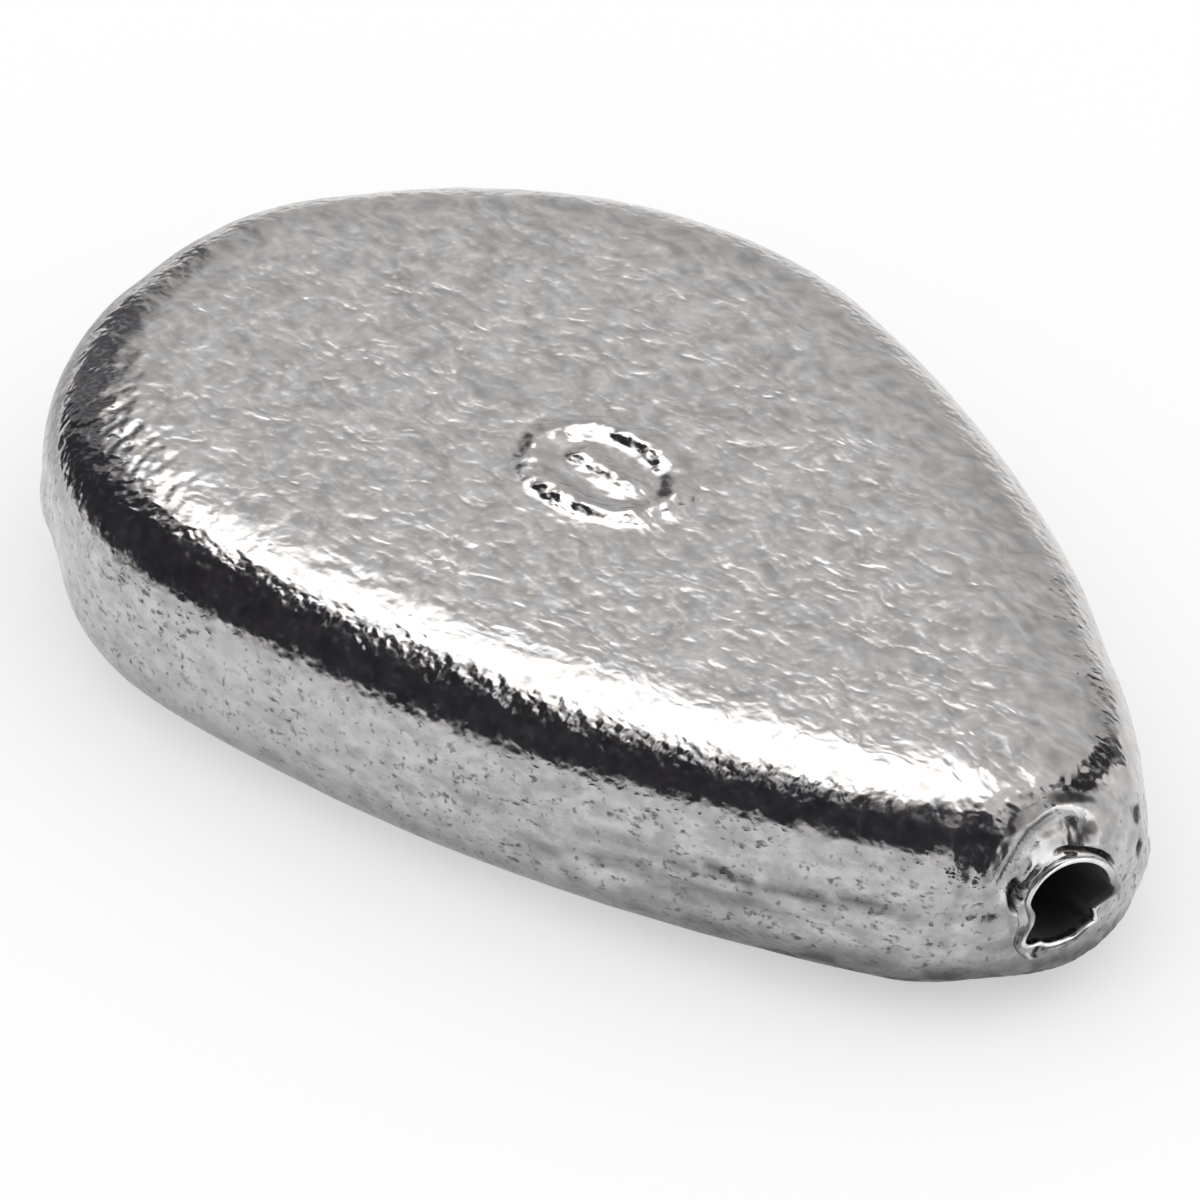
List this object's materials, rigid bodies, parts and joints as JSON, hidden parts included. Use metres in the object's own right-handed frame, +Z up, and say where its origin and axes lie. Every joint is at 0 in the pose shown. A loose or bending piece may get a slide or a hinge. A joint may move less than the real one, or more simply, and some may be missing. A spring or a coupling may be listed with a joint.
{
  "type": "flat inline fishing sinker",
  "caption": "Flat teardrop lead sinker with rounded edges and a thin metal tube along its length for the fishing line.",
  "frame": {"origin": "on the surface that the sinker rests on, under the middle of its length and width", "axes": "+X along the line bore from the rear flat to the tip, +Y across the body, +Z up out of the top face"},
  "size_m": [0.0486, 0.031, 0.008],
  "materials": {
    "cast_lead": "satin",
    "tube_metal": "satin"
  },
  "bodies": {
    "root": {"lead_body": "cast_lead", "line_tube": "tube_metal"}
  },
  "joints": []
}
